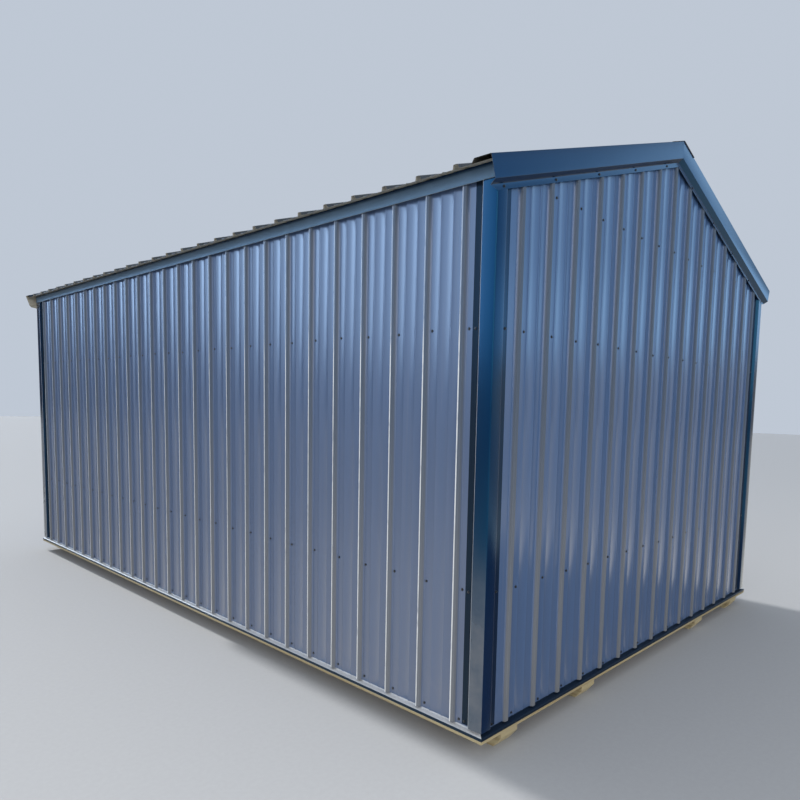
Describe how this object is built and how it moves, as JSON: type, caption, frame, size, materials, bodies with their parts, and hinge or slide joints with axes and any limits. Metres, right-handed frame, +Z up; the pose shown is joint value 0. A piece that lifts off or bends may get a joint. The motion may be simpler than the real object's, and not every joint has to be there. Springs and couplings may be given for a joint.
{
  "type": "metal storage shed",
  "caption": "Portable storage shed: ribbed steel sheets and bent trims on a timber frame with a gable roof, a timber floor and skids.",
  "frame": {"origin": "on the ground, under the middle of the shed", "axes": "+Z up, +Y along the ridge to the back gable, +X to the right wall seen from the front gable, which faces -Y"},
  "size_m": [3.7718, 6.1638, 3.3024],
  "materials": {
    "wall_steel": "semi-gloss",
    "roof_steel": "semi-gloss",
    "trim_steel": "semi-gloss",
    "treated_timber": "matte",
    "framing_timber": "matte",
    "floor_board": "matte"
  },
  "bodies": {
    "root": {"back_base_batten": "treated_timber", "back_base_trim": "trim_steel", "back_gable_sheets": "wall_steel", "back_left_corner_trim": "trim_steel", "back_left_rake_trim": "trim_steel", "back_right_corner_trim": "trim_steel", "back_right_rake_trim": "trim_steel", "end_rim_boards": "treated_timber", "floor_deck": "floor_board", "floor_joists": "treated_timber", "front_base_batten": "treated_timber", "front_base_trim": "trim_steel", "front_gable_sheets": "wall_steel", "front_left_corner_trim": "trim_steel", "front_left_rake_trim": "trim_steel", "front_right_corner_trim": "trim_steel", "front_right_rake_trim": "trim_steel", "gable_girts": "framing_timber", "left_base_batten": "treated_timber", "left_base_trim": "trim_steel", "left_eave_trim": "trim_steel", "left_roof_sheets": "roof_steel", "left_wall_sheets": "wall_steel", "ridge_cap": "roof_steel", "right_base_batten": "treated_timber", "right_base_trim": "trim_steel", "right_eave_trim": "trim_steel", "right_roof_sheets": "roof_steel", "right_wall_sheets": "wall_steel", "roof_purlins": "framing_timber", "roof_trusses": "framing_timber", "side_rim_boards": "treated_timber", "side_wall_girts": "framing_timber", "skid_left_inner": "treated_timber", "skid_left_outer": "treated_timber", "skid_right_inner": "treated_timber", "skid_right_outer": "treated_timber", "wall_posts": "framing_timber"}
  },
  "joints": []
}
